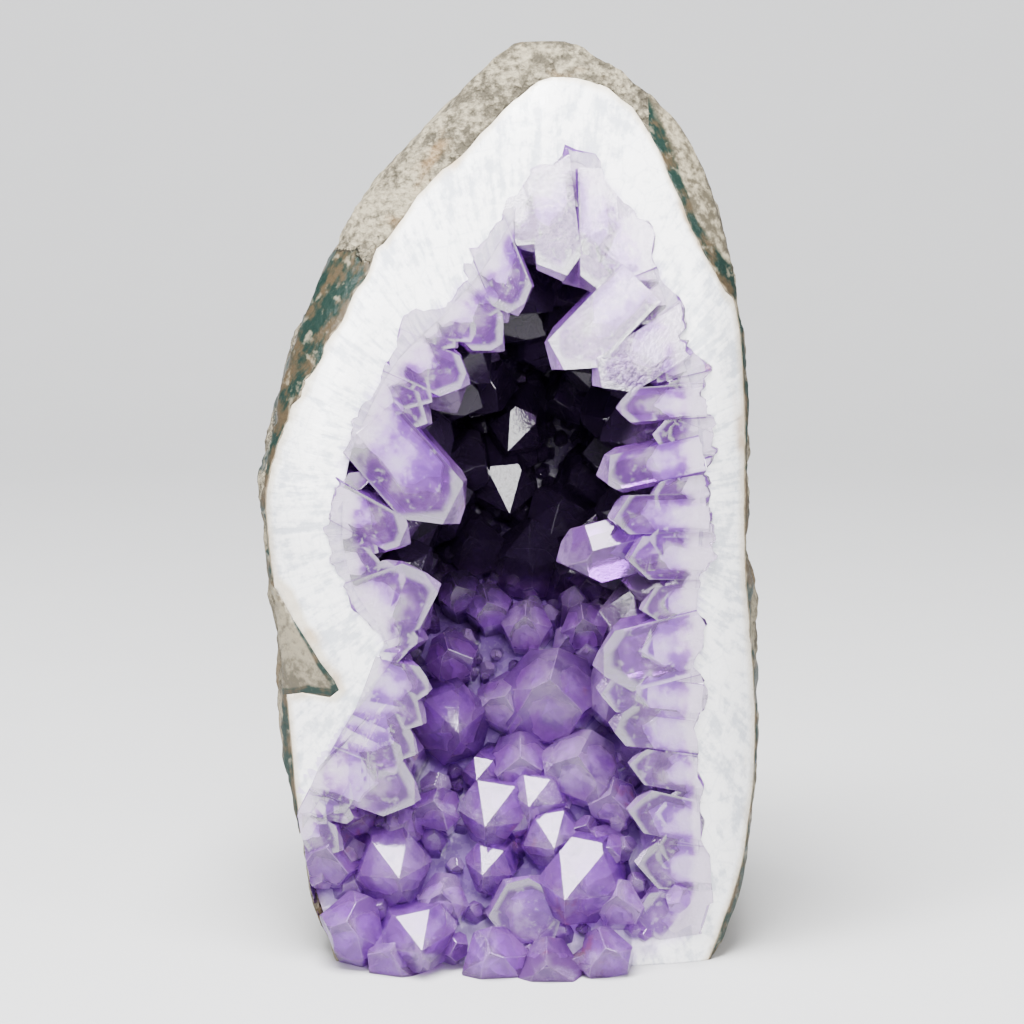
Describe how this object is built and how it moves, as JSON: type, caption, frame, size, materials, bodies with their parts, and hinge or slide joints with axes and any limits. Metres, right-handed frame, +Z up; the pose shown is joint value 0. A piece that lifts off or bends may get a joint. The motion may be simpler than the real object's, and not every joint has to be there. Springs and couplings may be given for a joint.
{
  "type": "amethyst geode",
  "caption": "Upright geode: a basalt rind over a white quartz shell, its front ground and polished, around a hollow lined with purple amethyst crystals, sawn flat at the base",
  "frame": {"origin": "middle of the sawn base, on the surface that the geode stands on", "axes": "+Z up along the geode's height; the polished, open front faces -Y; +X is to the right as the front is seen"},
  "size_m": [0.0874, 0.0808, 0.1564],
  "materials": {
    "basalt_rind": "rough weathered basalt with thin dark green agate where it is polished",
    "quartz_shell": "polished white to milky translucent quartz",
    "amethyst_crust": "glassy purple quartz crystals, clear at their tips"
  },
  "bodies": {
    "root": {"basalt_rind": "basalt_rind", "quartz_shell": "quartz_shell", "amethyst_crust": "amethyst_crust"}
  },
  "joints": []
}
